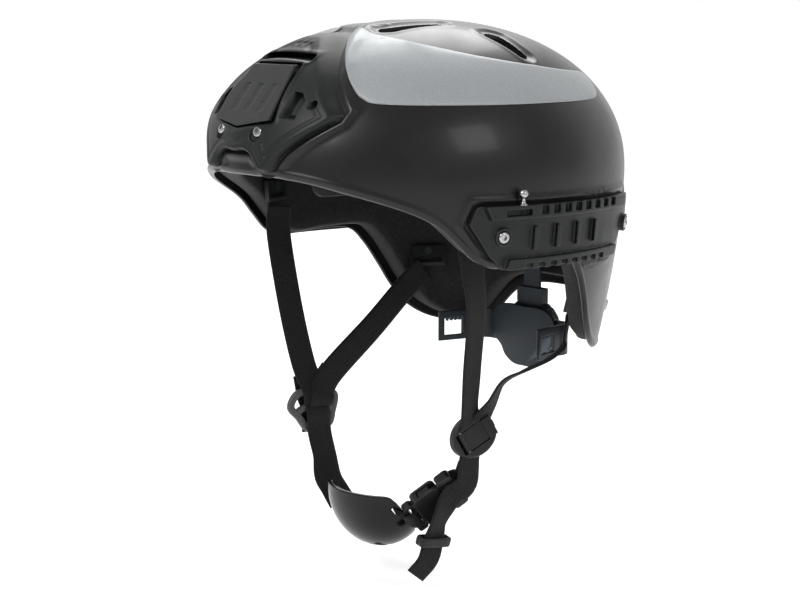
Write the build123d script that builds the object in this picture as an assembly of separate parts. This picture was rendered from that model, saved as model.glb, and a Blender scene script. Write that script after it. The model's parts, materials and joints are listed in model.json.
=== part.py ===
from build123d import *
from math import cos, pi, sin, sqrt
import os

os.makedirs("parts", exist_ok=True)

# Whitewater and rescue helmet, in millimetres.
# +Z is up, -Y is the wearer's front and +X is the wearer's left.
# The origin is on the middle plane, at the height of the greatest girth.

# ---- driving dimensions: the form of the shell ----
HALF_WIDTH = 108.0          # shell half width at the girth
HALF_LENGTH = 133.0         # shell half length at the girth
DOME_HEIGHT = 89.0          # crown above the girth
DOME_POWER = 2.13           # fullness of the dome's profile (2 is an ellipse)
FORM_Y = -12.0              # centre of the oval, in front of the origin
TAPER = 0.111               # how far the wall has drawn in, TAPER_DEPTH below the girth
TAPER_DEPTH = 99.0
TAPER_POWER = 1.6
FLOOR_Z = -125.0            # below every part of the shell

# side view of the rim, as (Y, Z): brow, ear lobe, ear cut, nape lobe
RIM = [(-165, 7), (-140, 5), (-118, -3), (-95, -12), (-80, -20), (-68, -31), (-57, -41),
       (-44, -45.5), (-18, -44.5), (10, -45), (21, -54), (30, -69), (38, -85), (48, -98),
       (64, -106), (90, -107), (150, -107)]
ARCH_Z = -80.0              # top of the arch between the two nape lobes
ARCH_HALF = 52.0            # its half width at the lobe tips

# ---- driving dimensions: layers, from the outside in ----
SHELL_T = 3.4               # moulded shell wall
LINER_T = 15.5              # foam liner
PAD_T = 6.0                 # comfort pads
LAYER_GAP = 0.4             # gap between two layers
SKIN_GAP = 0.2              # gap under what lies on the shell
LINER_OUTER = -(SHELL_T + LAYER_GAP)
LINER_INNER = LINER_OUTER - LINER_T
PAD_OUTER = LINER_INNER - LAYER_GAP
PAD_INNER = PAD_OUTER - PAD_T

# ---- driving dimensions: harness and headband ----
WEB_W = 16.0                # webbing width
WEB_T = 1.6                 # webbing thickness
SLOT_W, SLOT_T = 17.0, 3.0  # a slot that takes the webbing
CLEAR = 0.4                 # clearance between parts that move apart
DIAL_Z = -106.0             # height of the dial's axis
CRADLE_Y = 73.0             # inner face of the nape cradle
PINION_R = 3.0              # pitch radius of the dial's pinion
PINION_TEETH = 8
RACK_T = 2.0                # thickness of the headband arms

parts = {}


# ---- the form and its helpers ----
def taper(z):
    """Share of the girth that the wall keeps at a height below it."""
    return 1 - TAPER * (-z / TAPER_DEPTH) ** TAPER_POWER


def ring_scale(z, offset=0.0):
    """Share of the girth at any height."""
    if z < 0:
        return taper(z)
    return (1 - (z / (DOME_HEIGHT + offset)) ** DOME_POWER) ** (1 / DOME_POWER)


def form(offset):
    """Solid helmet form, grown by offset: a turned profile stretched to the oval."""
    half_w, half_l = HALF_WIDTH + offset, HALF_LENGTH + offset
    top = DOME_HEIGHT + offset
    power = 2 / DOME_POWER
    dome = [(half_w * sin(i * pi / 20) ** power, 0, top * cos(i * pi / 20) ** power)
            for i in range(10)]
    wall = [(half_w * taper(z), 0, z) for z in (0, -25, -50, -75, -100, FLOOR_Z)]
    edge = Spline(dome + wall, tangents=[(1, 0, 0), (-0.22, 0, -1)])
    low = (0, 0, FLOOR_Z)
    face = make_face([edge, Line(wall[-1], low), Line(low, dome[0])])
    body = revolve(face, axis=Axis.Z, revolution_arc=360)
    return Pos(0, FORM_Y, 0) * scale(body, by=(1, half_l / half_w, 1))


def layer(outer, inner):
    """The form's wall between two offsets."""
    return form(outer) - form(inner)


def side_x(y, z, offset=0.0):
    """X of the form's left side, at a place in the side view."""
    share = ring_scale(z, offset)
    reach = (y - FORM_Y) / ((HALF_LENGTH + offset) * share)
    return (HALF_WIDTH + offset) * share * sqrt(max(0.0, 1 - reach ** 2))


def front_y(x, z, offset=0.0):
    """Y of the form's front, at a place in the front view."""
    share = ring_scale(z, offset)
    reach = x / ((HALF_WIDTH + offset) * share)
    return FORM_Y - (HALF_LENGTH + offset) * share * sqrt(max(0.0, 1 - reach ** 2))


def outward(x, y, z):
    """Unit normal of the form at a point on it."""
    share = ring_scale(z)
    if z < 0:
        drop = (-z / TAPER_DEPTH) ** (TAPER_POWER - 1)
        rise = -TAPER * TAPER_POWER * drop / TAPER_DEPTH / share
    else:
        climb = (z / DOME_HEIGHT) ** (DOME_POWER - 1) / DOME_HEIGHT
        rise = climb / share ** DOME_POWER
    return Vector(x / (HALF_WIDTH * share) ** 2, (y - FORM_Y) / (HALF_LENGTH * share) ** 2,
                  rise).normalized()


def mirror_x(shape):
    return mirror(shape, about=Plane.YZ)


def box_at(low, high):
    """Box between two corners."""
    size = [b - a for a, b in zip(low, high)]
    centre = [(a + b) / 2 for a, b in zip(low, high)]
    return Pos(*centre) * Box(*size)


def side_prism(edges, low=-170, high=170):
    """Solid whose side view is the outline, from X = low to X = high."""
    face = make_face(edges).moved(Location((low, 0, 0)))
    return extrude(face, amount=high - low, dir=(1, 0, 0))


def side_shape(points, low, high, radius=0.0):
    """Solid whose side view is a polygon in Y and Z, with rounded corners."""
    outline = Plane.YZ * make_face(Polyline(points, close=True))
    if radius:
        outline = fillet(outline.vertices(), radius)
    return extrude(outline.moved(Location((low, 0, 0))), amount=high - low, dir=(1, 0, 0))


def front_shape(points, low, high, radius=0.0):
    """Solid whose front view is a polygon in X and Z, with rounded corners."""
    outline = Plane.XZ * make_face(Polyline(points, close=True))
    if radius:
        outline = fillet(outline.vertices(), radius)
    return extrude(outline.moved(Location((0, low, 0))), amount=high - low, dir=(0, 1, 0))


def both_ways(points):
    """A half outline and its mirror image, as one closed outline."""
    return points + [(-x, z) for x, z in reversed(points) if x > 0]


def pan_screw(plane, head_r, head_h, shank_r, shank_l, socket_r=1.6):
    """Screw with a domed head and a hexagon socket; the plane is under its head."""
    head = extrude(Plane.XY * Circle(head_r), amount=head_h)
    head = fillet(head.edges().sort_by(Axis.Z)[-1], head_h * 0.6)
    socket = Pos(0, 0, head_h * 0.4) * extrude(RegularPolygon(socket_r, 6), amount=head_h)
    shank = extrude(Plane.XY * Circle(shank_r), amount=-shank_l)
    return plane * (head + shank - socket)


def rod(plane, radius, low, high):
    """Cylinder along a plane's normal, between two heights."""
    core = Cylinder(radius, high - low, align=(Align.CENTER, Align.CENTER, Align.MIN))
    return plane * (Pos(0, 0, low) * core)


def surface_plane(x, y, z, lift=0.0):
    """Plane on the form at a point, facing outwards, lifted off it."""
    normal = outward(x, y, z)
    return Plane(origin=Vector(x, y, z) + normal * lift, z_dir=normal)


def ribbon(path, across, width=WEB_W, thick=WEB_T):
    """Flat strap through the path's points; across gives its width direction at each."""
    sections = []
    for i, (point, side) in enumerate(zip(path, across)):
        before = Vector(*path[max(i - 1, 0)])
        after = Vector(*path[min(i + 1, len(path) - 1)])
        run = (after - before).normalized()
        side = Vector(*side)
        side = (side - run * side.dot(run)).normalized()
        plane = Plane(origin=point, x_dir=side, z_dir=run)
        sections.append(plane * Rectangle(width, thick))
    return loft(sections, ruled=True)


# ---- vents: two on each side of the crown, through shell and liner ----
VENTS = [((21, -37), 80, 42, 11), ((57, 3), 12, 28, 12)]     # centre, turn, length, width


def vent_cutters(grow=0.0):
    """Teardrop openings, on both sides."""
    cutters = []
    for (x, y), turn, length, width in VENTS:
        wide, narrow = width / 2 + grow, width / 4 + grow
        rear = Pos(width / 2 - length / 2, 0) * Circle(wide)
        tip = Pos(length / 2 - width / 4, 0) * Circle(narrow)
        drop = make_hull((rear + tip).edges())
        hole = Pos(x, y, 30) * Rot(0, 0, turn) * extrude(drop, amount=80)
        cutters += [hole, mirror_x(hole)]
    return cutters


# ---- rim and arch cutters ----
def rim_cutter(step_y=0.0, step_z=0.0):
    """Everything below the rim line, with the line moved by the given step."""
    line = [(0, y + step_y, z + step_z) for y, z in RIM]
    low = -190
    corners = [line[-1], (0, line[-1][1], low), (0, line[0][1], low), line[0]]
    return side_prism([Spline(line), Polyline(corners)])


def arch_cutter(grow=0.0):
    """The arch under the back of the head, between the nape lobes."""
    half, top = ARCH_HALF + grow, ARCH_Z + grow
    foot, low = -115, -140
    curve = Spline([(-half, 0, foot), (-half * 0.62, 0, top - 5), (0, 0, top),
                    (half * 0.62, 0, top - 5), (half, 0, foot)])
    base = Polyline([(half, 0, foot), (half, 0, low), (-half, 0, low), (-half, 0, foot)])
    return extrude(make_face([curve, base]), amount=150, dir=(0, 1, 0))


# ---- shell ----
SHROUD_SCREWS = [(16, 28), (-16, 28)]                 # X, Z
RAIL_SCREWS = [(-44, -27), (69, -29)]                 # Y, Z
NAPE_SCREW = (88, -84)                                # Y, Z
SCREW_R = 2.0


def shroud_screw_plane(x, z, lift):
    return surface_plane(x, front_y(x, z), z, lift)


def side_screw_plane(y, z, lift):
    return surface_plane(side_x(y, z), y, z, lift)


def screw_holes(radius):
    """Clear holes through the shell for every screw."""
    holes = [rod(shroud_screw_plane(x, z, 0), radius, -12, 12) for x, z in SHROUD_SCREWS]
    for y, z in RAIL_SCREWS + [NAPE_SCREW]:
        hole = rod(side_screw_plane(y, z, 0), radius, -12, 12)
        holes += [hole, mirror_x(hole)]
    return holes


def make_shell():
    shell = layer(0, -SHELL_T) - rim_cutter() - arch_cutter()
    for cutter in vent_cutters() + screw_holes(SCREW_R + 0.2):
        shell -= cutter
    return shell


parts["outer_shell"] = make_shell()

# ---- foam liner in three pieces, and comfort pads ----
LINER_CUTS = (-48.0, 42.0)          # Y of the joins between the liner's pieces
JOIN = 0.6                          # gap at each join
LINER_RISE = (1.5, 2.0)             # how far the liner stops above the rim, in Y and Z


def make_liner():
    foam = layer(LINER_OUTER, LINER_INNER) - rim_cutter(*LINER_RISE) - arch_cutter(2)
    for cutter in vent_cutters(1.5):
        foam -= cutter
    front, rear = LINER_CUTS
    far = 200
    parts["liner_front"] = foam & box_at((-far, -far, -far), (far, front - JOIN, far))
    parts["liner_crown"] = foam & box_at((-far, front, -far), (far, rear, far))
    parts["liner_rear"] = foam & box_at((-far, rear + JOIN, -far), (far, far, far))


CROWN_PAD_AT = (0, FORM_Y, 63.5)
CROWN_PAD_AXES = (24, 34, 4.5)


def make_pads():
    lining = layer(PAD_OUTER, PAD_INNER)
    far = 200
    brow = side_shape([(-150, 14), (-90, 14), (-90, 44), (-150, 44)], -46, 46)
    side = side_shape([(-28, -22), (38, -22), (38, 16), (-28, 16)], 40, far, 8)
    rear = side_shape([(70, -26), (150, -26), (150, 10), (70, 10)], -42, 42)
    parts["pad_brow"] = lining & brow
    parts["pad_crown"] = Pos(*CROWN_PAD_AT) * scale(Sphere(1), by=CROWN_PAD_AXES)
    parts["pad_left"] = lining & side
    parts["pad_right"] = mirror_x(parts["pad_left"])
    parts["pad_rear"] = lining & rear


make_liner()
make_pads()

# ---- front shroud: contoured base, face plate in its pocket, two screws ----
SHROUD_T = 6.0
SHROUD_HALF = [(0, 85), (10, 84), (24, 76), (38, 64), (49, 51), (58, 41), (57, 34), (46, 25),
               (36, 16), (29, 6), (20, 6), (11, 15), (0, 15)]          # X, Z
PLATE_HALF = [(0, 65), (19, 65), (25, 36), (0, 32)]                    # X, Z
PLATE_FOOT, PLATE_TOP = (-145.2, 32.0), (-119.0, 65.0)                 # Y, Z of its face
PLATE_T = 2.0
WINDOW = [(29, 38), (29, 51), (38, 46), (37, 37)]                      # X, Z
LANYARD_HOLE = (43.0, 44.5)                                            # X, Z
LANYARD_R = 2.0
SHROUD_SLOT = (-24, 24, 66.8, 71.8)                                    # X and Z limits


def plate_plane():
    """Plane of the face plate's outer face."""
    (foot_y, foot_z), (top_y, top_z) = PLATE_FOOT, PLATE_TOP
    normal = Vector(0, -(top_z - foot_z), top_y - foot_y).normalized()
    return Plane(origin=(0, foot_y, foot_z), x_dir=(1, 0, 0), z_dir=normal)


def plate_blank(grow, low, high):
    """The face plate's outline, between two depths from its outer face."""
    half = [(x + grow if x else 0, z + (grow if z > 50 else -grow)) for x, z in PLATE_HALF]
    prism = front_shape(both_ways(half), -190, -60)
    slab = plate_plane() * (Pos(0, 20, (low + high) / 2) * Box(120, 160, high - low))
    return prism & slab


def lanyard_plane():
    x, z = LANYARD_HOLE
    return surface_plane(x, front_y(x, z), z, 0)


def make_shroud():
    base = layer(SHROUD_T, SKIN_GAP) & front_shape(both_ways(SHROUD_HALF), -180, -60, 1.8)
    base -= plate_blank(0.1, -PLATE_T - 0.1, 20)
    x0, x1, z0, z1 = SHROUD_SLOT
    base -= front_shape([(x0, z0), (x1, z0), (x1, z1), (x0, z1)], -180, -60, 1)
    window = front_shape(WINDOW, -180, -60, 1.5)
    base -= window
    base -= mirror_x(window)
    hole = rod(lanyard_plane(), LANYARD_R, -5, 15)
    base -= hole
    base -= mirror_x(hole)
    for x, z in SHROUD_SCREWS:
        base -= rod(shroud_screw_plane(x, z, 0), SCREW_R + 0.1, -5, 15)
        base -= rod(shroud_screw_plane(x, z, 0), 3.9, SHROUD_T - 2.2, 15)
    for offset in (-6, 0, 6):
        corners = [(offset - 2, 73.5), (offset + 2, 73.5), (offset + 2, 78), (offset - 2, 78)]
        rib = front_shape(corners, -180, -60)
        base += (layer(SHROUD_T + 0.9, SHROUD_T - 0.5) & rib)
    parts["front_shroud"] = base
    plate = plate_blank(0, -PLATE_T, 0) - form(SKIN_GAP + 0.3)
    for step in (-12, 0, 12):
        groove = plate_plane() * (Pos(step, 20, 0) * Box(5, 18, 0.9))
        plate -= groove
    parts["shroud_plate"] = plate
    screws = [pan_screw(shroud_screw_plane(x, z, SHROUD_T - 2.1), 3.5, 2.2, SCREW_R - 0.1, 7.2)
              for x, z in SHROUD_SCREWS]
    parts["shroud_screws"] = Compound(children=screws)


make_shroud()

# ---- side rails, their screws and the ball studs ----
RAIL_OUTLINE = [(-60, -10), (77, -12), (79, -30), (67, -34), (56, -46), (-42, -46), (-51, -38),
                (-64, -20)]                                            # Y, Z
RAIL_BASE, RAIL_PANEL, RAIL_LOW_BAR, RAIL_TOP_BAR = 3.0, 4.4, 6.2, 7.4
TOP_BAR = [(-58, -10), (60, -11.5), (60, -17.5), (-54, -17.5)]
LOW_BAR = [(-40, -40), (56, -40), (53, -46), (-42, -46)]
PANEL = [(-36, -20), (60, -20), (57, -37.5), (-36, -37.5)]
RAIL_SLOT = [(-46, -12.2), (-29, -12.2), (-29, -15.8), (-46, -15.8)]
POCKET_PITCH = 8.9
POCKETS = 8
POCKET_W = 5.4
TOP_POCKET_Y, LOW_POCKET_Y = -22.5, -30.0
RIB_YS = [-25, -8, 9, 26]
BALL_Y, BALL_R, STEM_R = -33.0, 2.7, 1.3


def rail_band(outline, outer, inner, radius=0.0):
    return layer(outer, inner) & side_shape(outline, 20, 170, radius)


def pocket(y, low, high, inner, outer):
    """A castellation pocket in a rail bar, at one place along it."""
    corners = [(y, low), (y + POCKET_W, low), (y + POCKET_W, high), (y, high)]
    return rail_band(corners, outer, inner)


def ball_plane():
    """Plane at the ball's centre, above the rail's top bar, with its normal up."""
    x = side_x(BALL_Y, -10, RAIL_TOP_BAR) - 3.4
    return Plane(origin=(x, BALL_Y, -4.2), z_dir=(0, 0, 1))


def make_rail():
    rail = rail_band(RAIL_OUTLINE, RAIL_BASE, SKIN_GAP, 3)
    rail += rail_band(TOP_BAR, RAIL_TOP_BAR, RAIL_BASE - 0.5, 1)
    rail += rail_band(LOW_BAR, RAIL_LOW_BAR, RAIL_BASE - 0.5, 1)
    rail += rail_band(PANEL, RAIL_PANEL, RAIL_BASE - 0.5, 1.5)
    for y in RIB_YS:
        corners = [(y, -22.5), (y + 2.6, -22.5), (y + 2.6, -35), (y, -35)]
        rail += rail_band(corners, RAIL_PANEL + 1.4, RAIL_BASE - 0.5)
    rail -= rail_band(RAIL_SLOT, 12, RAIL_BASE + 1.0, 1)
    for i in range(POCKETS):
        step = i * POCKET_PITCH
        rail -= pocket(TOP_POCKET_Y + step, -15.6, -8, RAIL_BASE + 1.2, 12)
        rail -= pocket(LOW_POCKET_Y + step, -48, -42.6, RAIL_BASE + 0.6, 12)
    for y, z in RAIL_SCREWS:
        rail += rod(side_screw_plane(y, z, 0), 5.2, 1.2, 5.2)
        rail -= rod(side_screw_plane(y, z, 0), SCREW_R + 0.1, -5, 20)
        rail -= rod(side_screw_plane(y, z, 0), 3.7, 3.6, 20)
    rail -= rod(ball_plane(), STEM_R, -20, 5)
    return rail


def make_side_fittings():
    rail = make_rail()
    screws = [pan_screw(side_screw_plane(y, z, 3.7), 3.4, 2.2, SCREW_R - 0.1, 6.6)
              for y, z in RAIL_SCREWS]
    ball = ball_plane() * Sphere(BALL_R) + rod(ball_plane(), STEM_R - 0.05, -9.5, 0)
    nape = pan_screw(side_screw_plane(*NAPE_SCREW, 0.1), 3.6, 1.8, SCREW_R - 0.1, 3.2)
    parts["rail_left"], parts["rail_right"] = rail, mirror_x(rail)
    parts["rail_screws_left"] = Compound(children=screws)
    parts["rail_screws_right"] = Compound(children=[mirror_x(screw) for screw in screws])
    parts["ball_stud_left"], parts["ball_stud_right"] = ball, mirror_x(ball)
    parts["nape_screws"] = Compound(children=[nape, mirror_x(nape)])


make_side_fittings()

# ---- reflective panels, seen from above: a blade that wraps the side of the crown ----
PANEL_FOOT_Z = 43.5
PANEL_OUTER = [(8, -72), (30, -93), (40, -101), (52, -104), (66, -112), (120, -60), (125, 0),
               (118, 50), (78, 62)]
PANEL_INNER = [(66, 62), (71, 50), (78, 0), (70, -30), (42, -60), (8, -72)]


def make_panel():
    corners = [(x, y, 0) for x, y in PANEL_OUTER]
    top = [(x, y, 0) for x, y in PANEL_INNER]
    outline = make_face([Polyline(corners + [top[0]]), Spline(top)])
    blade = Pos(0, 0, PANEL_FOOT_Z) * extrude(outline, amount=60)
    shroud = Plane.XZ * make_face(Polyline(both_ways(SHROUD_HALF), close=True))
    shroud = extrude(offset(shroud, 1.2).moved(Location((0, -180, 0))), amount=130, dir=(0, 1, 0))
    return (layer(0.8, SKIN_GAP) & blade) - shroud


panel = make_panel()
parts["reflective_panel_left"], parts["reflective_panel_right"] = panel, mirror_x(panel)

# ---- harness straps: path points and width directions ----
FORE = (0, 1, 0)
STRAPS = {
    "strap_front_right": ([(-71, -64, -23), (-71, -65, -40), (-65, -62, -78), (-54.5, -57, -131)],
                          [FORE, FORE, FORE, FORE]),
    "strap_rear_right": ([(-64, 46, -71), (-67, 32, -83), (-63, 2, -104), (-54.5, -40.5, -130.8)],
                         [(0, 1, -1), (0, 1, -1), (0, 1, -1), (0, 1, -0.6)]),
    "strap_front_left": ([(77, -44, -23), (78, -42, -40), (75, -35, -72), (62.8, -28.5, -133)],
                         [FORE, FORE, (-0.2, 1, 0), (-0.3, 1, 0)]),
    "strap_rear_left": ([(57.8, 55.2, -86), (56.8, 54.8, -98), (57.5, 50, -106.5), (62, 36, -110.5),
                         (65, 14, -114.5), (65, -4, -120), (64, -13, -132)],
                        [(-0.62, 0.78, 0), (-0.62, 0.78, 0), (-0.7, 0.7, -0.05), (-0.76, 0.63, -0.16),
                         (-0.76, 0.63, -0.16), (-0.3, 0.9, -0.3), (0.28, 0.75, -0.6)]),
}
ANCHORS = {                                            # side, Y, Z
    "strap_anchor_front_right": (-1, -64, -14),
    "strap_anchor_rear_right": (-1, 50, -63),
    "strap_anchor_front_left": (1, -44, -14),
    "strap_anchor_rear_left": (1, 55, -77),
}
ANCHOR_DEPTH = 3.2                                     # its middle, inside the liner's inner face


def make_anchor(side, y, z):
    """Tab with a webbing slot, pinned to the liner's inner face."""
    x = side_x(y, z, LINER_INNER - ANCHOR_DEPTH)
    plane = Plane(origin=(x, y, z), x_dir=outward(x, y, z).cross(Vector(0, 0, 1)),
                  z_dir=outward(x, y, z))
    tab = Box(22, 13, 2.6)
    tab -= Pos(0, 3 if plane.y_dir.Z < 0 else -3, 0) * Box(SLOT_W, SLOT_T, 8)
    rivet = Pos(0, -3 if plane.y_dir.Z < 0 else 3, -0.4) * Cylinder(2.5, 3.6)
    anchor = plane * (tab + rivet)
    return anchor if side > 0 else mirror_x(anchor)


for name, (path, across) in STRAPS.items():
    parts[name] = ribbon(path, across)
for name, place in ANCHORS.items():
    parts[name] = make_anchor(*place)

# ---- right side: triangular slider and the strap down to the chin cup ----
SLIDER_X = -53.0
SLIDER_OUT = [(-73, -144), (-65, -134.5), (-37, -137.5), (-34, -143), (-38, -160), (-59, -162)]
SLIDER_IN = [(-68, -144.5), (-63, -138.5), (-40, -141.5), (-38.5, -144), (-42, -156.5), (-57, -158)]
SLIDER_T = 3.6

slider = side_shape(SLIDER_OUT, SLIDER_X - SLIDER_T / 2, SLIDER_X + SLIDER_T / 2, 2.5)
slider -= side_shape(SLIDER_IN, SLIDER_X - SLIDER_T, SLIDER_X + SLIDER_T, 1.5)
parts["triangle_slider"] = slider

parts["chin_strap_right"] = ribbon([(-52, -49, -164), (-47, -49, -177), (-41.5, -51, -188.5)],
                                   [FORE, FORE, (0.2, 1, 0.1)])

# ---- chin cup and its pad ----
CUP_CENTRE = (0, -45, -189)
CUP_AXES = (35.0, 27.0, 34.0)
CUP_T, CUP_PAD_T = 2.6, 4.0
BUCKLE = Plane(origin=(42.5, -39.1, -190.2), x_dir=(0.485, 0.634, 0.597),
               z_dir=(0.871, -0.341, -0.348))
BUCKLE_W, BUCKLE_H = 24.0, 9.0


def cup_form(grow):
    """Solid egg shape, grown by an offset."""
    along, deep, high = [axis + grow for axis in CUP_AXES]
    return Pos(*CUP_CENTRE) * scale(Sphere(1), by=(along, deep, high))


def make_cup():
    """Bowl that holds the chin: open at its top and back."""
    keep = side_shape([(-90, -186), (-60, -186), (-36, -212), (-33, -240), (-90, -240)],
                      -60, 60, 3)
    cup = (cup_form(0) - cup_form(-CUP_T)) & keep
    inner_keep = side_shape([(-90, -188), (-62, -188), (-38, -213), (-35, -240), (-90, -240)],
                            -25, 25, 3)
    pad = (cup_form(-CUP_T - 0.3) - cup_form(-CUP_T - 0.3 - CUP_PAD_T)) & inner_keep
    for side in (1, -1):
        plane = Plane(origin=(side * 32, -55, -196), x_dir=(0, 1, -0.6), z_dir=(side, -0.2, 0))
        cup -= plane * Box(SLOT_W * 0.6, SLOT_T, 14)
    for step in (-11, 0, 11):
        cup -= Pos(step, -50, -230) * Box(4.5, 12, 26)
    beside = BUCKLE_W / 2 + 0.3
    cup -= BUCKLE * box_at((-16.4, -beside, -BUCKLE_H / 2 - 0.3), (8.4, beside, BUCKLE_H / 2 + 0.3))
    parts["chin_cup"] = cup
    parts["chin_cup_pad"] = pad


make_cup()

# ---- buckle on the left, its frame runs from the cup's end up to the divider ----
TONGUE_DEEP = 14.0


def rounded_box(low, high, radius):
    box = box_at(low, high)
    return fillet(box.edges().filter_by(Axis.Z), radius)


def make_buckle():
    """Side-release buckle: socket half, tongue half and two sprung prongs."""
    half = BUCKLE_W / 2
    socket = rounded_box((-9, -half, -BUCKLE_H / 2), (8, half, BUCKLE_H / 2), 3)
    socket -= box_at((-6, -8.8, -2.7), (20, 8.8, 2.7))
    for side in (1, -1):
        window = box_at((-4, 6, -2.7), (20, 14, 2.7))
        socket -= window if side > 0 else mirror(window, about=Plane.XZ)
    bar = rounded_box((-16, -half + 1.5, -3), (-9.5, half - 1.5, 3), 2)
    bar -= box_at((-13.4, -SLOT_W / 2, -5), (-10.6, SLOT_W / 2, 5))
    socket += bar + box_at((-10, -half + 3, -3), (-8.5, half - 3, 3))
    tongue = rounded_box((8.6, -half, -3.8), (18.5, half, 3.8), 2.5)
    tongue -= box_at((12.2, -SLOT_W / 2, -6), (15.2, SLOT_W / 2, 6))
    tongue -= box_at((7, 4.6, -2.5), (11.2, 10.6, 2.5))
    tongue -= box_at((7, -10.6, -2.5), (11.2, -4.6, 2.5))
    tongue += box_at((8.6 - TONGUE_DEEP + 1, -2.8, -2.1), (9, 2.8, 2.1))
    prong = box_at((-3.4, 6.3, -2.0), (10.8, 8.3, 2.0)) + box_at((-3.4, 6.3, -2.0), (3.9, 11.4, 2.0))
    parts["buckle_socket"] = BUCKLE * socket
    parts["buckle_tongue"] = BUCKLE * tongue
    parts["buckle_prong_front"] = BUCKLE * prong
    parts["buckle_prong_rear"] = BUCKLE * mirror(prong, about=Plane.XZ)


make_buckle()

# ---- left side: oval divider with a cam lever, and the strap pieces at the buckle ----
DIVIDER = Plane(origin=(60.5, -23.5, -149), x_dir=(0.15, 0.88, 0.45), z_dir=(0.96, -0.24, 0.15))
DIVIDER_AXES = (15.0, 12.0)
DIVIDER_T = 7.0
CAM_PIN_X, CAM_PIN_R = -7.5, 1.3


def oval(long_half, short_half, low, high):
    return Pos(0, 0, low) * extrude(Ellipse(long_half, short_half), amount=high - low)


def make_divider():
    """Oval body with a recess, a cross pin and a cam lever that lifts off its face."""
    long_half, short_half = DIVIDER_AXES
    half = DIVIDER_T / 2
    body = oval(long_half, short_half, -half, half)
    body = fillet(body.edges().group_by(Axis.Z)[0] + body.edges().group_by(Axis.Z)[-1], 1.5)
    body -= box_at((-11.5, -6.5, -1.2), (11, 6.5, 10))
    pin_axis = Plane(origin=(CAM_PIN_X, 0, 1.6), x_dir=(1, 0, 0), z_dir=(0, 1, 0))
    body -= rod(pin_axis, CAM_PIN_R, -9.5, 9.5)
    pin = rod(pin_axis, CAM_PIN_R - 0.02, -8.5, 8.5)
    lever = box_at((CAM_PIN_X, -6, 0.2), (9, 6, 3.2)) + rod(pin_axis, 2.2, -6, 6)
    lever = lever + box_at((7, -6, 1.6), (13, 6, 4.6)) - rod(pin_axis, CAM_PIN_R + 0.06, -9, 9)
    body -= box_at((8, -6.5, 1.2), (17, 6.5, 10))
    parts["divider_body"] = DIVIDER * body
    parts["divider_cam_pin"] = DIVIDER * pin
    parts["divider_cam_lever"] = DIVIDER * lever


make_divider()

TONGUE_END = BUCKLE.from_local_coords((24.6, 0, 0))
SOCKET_END = BUCKLE.from_local_coords((-16.8, 0, 0))
BUCKLE_ACROSS = tuple(BUCKLE.y_dir)
parts["adjuster_strap"] = ribbon([(58, -24.5, -163.5), tuple(TONGUE_END)], [FORE, BUCKLE_ACROSS])
parts["chin_strap_left"] = ribbon([tuple(SOCKET_END), (29, -55, -204)],
                                  [BUCKLE_ACROSS, BUCKLE_ACROSS], WEB_W * 0.8)
TAIL_TOP, TAIL_LOW = (52, -42, -197), (47, -46, -222)
TAIL_ACROSS = (-0.35, 0.9, 0.0)
parts["strap_tail"] = ribbon([TAIL_TOP, TAIL_LOW, (43, -54, -232)], [TAIL_ACROSS] * 3)


def make_keeper():
    """Loop that holds the tail, and slides along it."""
    top, low = Vector(*TAIL_TOP), Vector(*TAIL_LOW)
    run = (low - top).normalized()
    side = Vector(*TAIL_ACROSS)
    side = (side - run * side.dot(run)).normalized()
    plane = Plane(origin=top + (low - top) * 0.55, x_dir=side, z_dir=run)
    loop = Box(WEB_W + 5, WEB_T + 5, 5) - Box(WEB_W + 1.2, WEB_T + 1.2, 9)
    return plane * loop


parts["strap_keeper"] = make_keeper()

# ---- nape cradle: hanger, plate, dial housing, dial, pinion and two toothed arms ----
PLATE_T2 = 2.6
RACK_Y = CRADLE_Y + PLATE_T2 + 0.3            # inner face of the arms
HOUSING_Y = RACK_Y + RACK_T + 0.3
HOUSING_T = 6.0
KNOB_Y = HOUSING_Y + HOUSING_T + CLEAR
KNOB_T, KNOB_R = 7.0, 17.0
DIAL = Plane(origin=(0, 0, DIAL_Z), x_dir=(1, 0, 0), z_dir=(0, 1, 0))
AXLE_R = 1.8
HANGER_Y = HOUSING_Y + 2.2
PITCH = 2 * pi * PINION_R / PINION_TEETH
TOOTH_H = 1.1
RACK_TEETH = 9


def make_hanger():
    """Flat bar from the liner's back, which the cradle slides up and down on."""
    bar = box_at((-7, HANGER_Y, -92), (7, HANGER_Y + 2, -44))
    back = -LINER_INNER
    y = FORM_Y + (HALF_LENGTH - back) * taper(-46) - 1.5
    return bar + box_at((-9, HANGER_Y, -51), (9, y, -42))


def make_cradle():
    wing = [(0, -91), (12, -90), (25, -92), (28, -98), (28, -112), (21, -117), (14, -127),
            (0, -129)]
    plate = front_shape(both_ways(wing), CRADLE_Y, CRADLE_Y + PLATE_T2, 2)
    plate -= rod(DIAL, AXLE_R + 0.05, CRADLE_Y - 2, CRADLE_Y + 10)
    parts["cradle_plate"] = plate
    housing = rod(DIAL, 20, HOUSING_Y, HOUSING_Y + HOUSING_T)
    housing += box_at((-11, HOUSING_Y, -88.4), (11, HOUSING_Y + 6.4, -79))
    housing -= box_at((-7.4, HANGER_Y - 0.4, -140), (7.4, HANGER_Y + 2.4, -60)) & box_at(
        (-9, 0, -99), (9, 200, -60))
    housing -= rod(DIAL, AXLE_R + 0.05, CRADLE_Y, KNOB_Y + 5)
    for side in (1, -1):
        post = box_at((16, RACK_Y - 0.25, -118.5), (21, HOUSING_Y, -116.5))
        ear = box_at((10, HOUSING_Y, -118.5), (21, HOUSING_Y + 2, -114))
        piece = post + ear
        housing += piece if side > 0 else mirror_x(piece)
    parts["dial_housing"] = housing


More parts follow.
